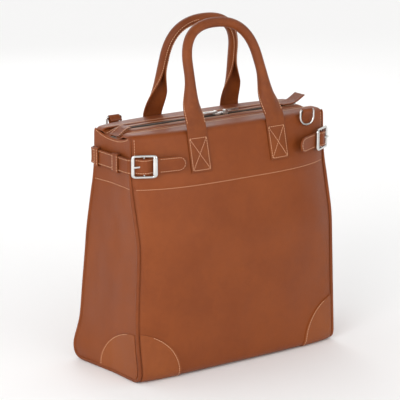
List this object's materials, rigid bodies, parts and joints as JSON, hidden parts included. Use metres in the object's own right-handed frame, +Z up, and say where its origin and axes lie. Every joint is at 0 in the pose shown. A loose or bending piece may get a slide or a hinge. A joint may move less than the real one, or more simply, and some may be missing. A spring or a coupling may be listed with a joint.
{
  "type": "leather briefcase",
  "caption": "Upright tote-style leather briefcase: rolled handles that fold, two-way top zip, side cinch straps with buckles, D-rings and corner patches.",
  "frame": {"origin": "middle of the underside of the base, on the floor", "axes": "+Z up, the front panel with both buckles looks along -Y, +X runs to the right of someone facing the front"},
  "size_m": [0.4082, 0.2034, 0.5695],
  "materials": {
    "case_leather": "smooth tanned, satin",
    "trim_leather": "smooth tanned, satin, cream stitching",
    "lining_cloth": "twill",
    "board": "matt",
    "zip_tape": "woven",
    "zip_coil": "satin",
    "rope": "twisted cotton",
    "nickel": "polished nickel"
  },
  "bodies": {
    "case": {"front_panel": "case_leather", "back_panel": "case_leather", "base_panel": "case_leather", "left_gusset": "case_leather", "right_gusset": "case_leather", "front_zip_strip": "case_leather", "back_zip_strip": "case_leather", "left_zip_end_tab": "case_leather", "right_zip_end_tab": "case_leather", "front_facing": "case_leather", "back_facing": "case_leather", "left_facing": "case_leather", "right_facing": "case_leather", "left_piping": "trim_leather", "right_piping": "trim_leather", "left_front_panel_patch": "trim_leather", "left_front_gusset_patch": "trim_leather", "left_front_handle_tab": "trim_leather", "right_front_panel_patch": "trim_leather", "right_front_gusset_patch": "trim_leather", "right_front_handle_tab": "trim_leather", "left_back_panel_patch": "trim_leather", "left_back_gusset_patch": "trim_leather", "left_back_handle_tab": "trim_leather", "right_back_panel_patch": "trim_leather", "right_back_gusset_patch": "trim_leather", "right_back_handle_tab": "trim_leather", "left_strap": "trim_leather", "left_keeper": "trim_leather", "left_rear_loop": "trim_leather", "left_buckle_chape": "trim_leather", "right_strap": "trim_leather", "right_keeper": "trim_leather", "right_rear_loop": "trim_leather", "right_buckle_chape": "trim_leather", "front_d_ring_chape": "trim_leather", "back_d_ring_chape": "trim_leather", "base_board": "board", "lining": "lining_cloth", "front_zip_tape": "zip_tape", "back_zip_tape": "zip_tape", "front_zip_coil": "zip_coil", "back_zip_coil": "zip_coil", "left_buckle_frame": "nickel", "right_buckle_frame": "nickel"},
    "front_handle": {"front_handle_cover": "trim_leather", "front_handle_core": "rope"},
    "back_handle": {"back_handle_cover": "trim_leather", "back_handle_core": "rope"},
    "left_slider": {"left_slider": "nickel"},
    "right_slider": {"right_slider": "nickel"},
    "left_pull": {"left_pull_tab": "nickel"},
    "right_pull": {"right_pull_tab": "nickel"},
    "left_prong": {"left_buckle_prong": "nickel"},
    "right_prong": {"right_buckle_prong": "nickel"},
    "left_tip": {"left_strap_tip": "trim_leather"},
    "right_tip": {"right_strap_tip": "trim_leather"},
    "front_ring": {"front_d_ring": "nickel"},
    "back_ring": {"back_d_ring": "nickel"}
  },
  "joints": [
    {"name": "front_handle_fold", "type": "hinge", "parent": "case", "child": "front_handle", "pos_m": [0, -0.0735, 0.3965], "axis": [1, 0, 0], "range_deg": [-3, 150]},
    {"name": "back_handle_fold", "type": "hinge", "parent": "case", "child": "back_handle", "pos_m": [0, 0.0735, 0.3965], "axis": [-1, 0, 0], "range_deg": [-3, 150]},
    {"name": "left_slider_run", "type": "slide", "parent": "case", "child": "left_slider", "axis": [-1, 0, 0], "range_m": [0, 0.16]},
    {"name": "right_slider_run", "type": "slide", "parent": "case", "child": "right_slider", "axis": [1, 0, 0], "range_m": [0, 0.105]},
    {"name": "left_pull_turn", "type": "hinge", "parent": "left_slider", "child": "left_pull", "pos_m": [0.009, 0, 0.4066], "axis": [0, 1, 0], "range_deg": [0, 90]},
    {"name": "right_pull_turn", "type": "hinge", "parent": "right_slider", "child": "right_pull", "pos_m": [0.028, 0, 0.4066], "axis": [0, -1, 0], "range_deg": [0, 90]},
    {"name": "left_prong_turn", "type": "hinge", "parent": "case", "child": "left_prong", "pos_m": [-0.17958, -0.06715, 0.352], "axis": [0, 0, 1], "range_deg": [0, 30]},
    {"name": "right_prong_turn", "type": "hinge", "parent": "case", "child": "right_prong", "pos_m": [0.17958, -0.06715, 0.352], "axis": [0, 0, -1], "range_deg": [0, 30]},
    {"name": "left_tip_lift", "type": "hinge", "parent": "case", "child": "left_tip", "pos_m": [-0.15936, -0.07598, 0.352], "axis": [0, 0, -1], "range_deg": [0, 50]},
    {"name": "right_tip_lift", "type": "hinge", "parent": "case", "child": "right_tip", "pos_m": [0.15936, -0.07598, 0.352], "axis": [0, 0, 1], "range_deg": [-12, 45]},
    {"name": "front_ring_swing", "type": "hinge", "parent": "case", "child": "front_ring", "pos_m": [0.144, -0.073, 0.405], "axis": [-1, 0, 0], "range_deg": [0, 170]},
    {"name": "back_ring_swing", "type": "hinge", "parent": "case", "child": "back_ring", "pos_m": [-0.144, 0.073, 0.405], "axis": [1, 0, 0], "range_deg": [0, 170]}
  ]
}
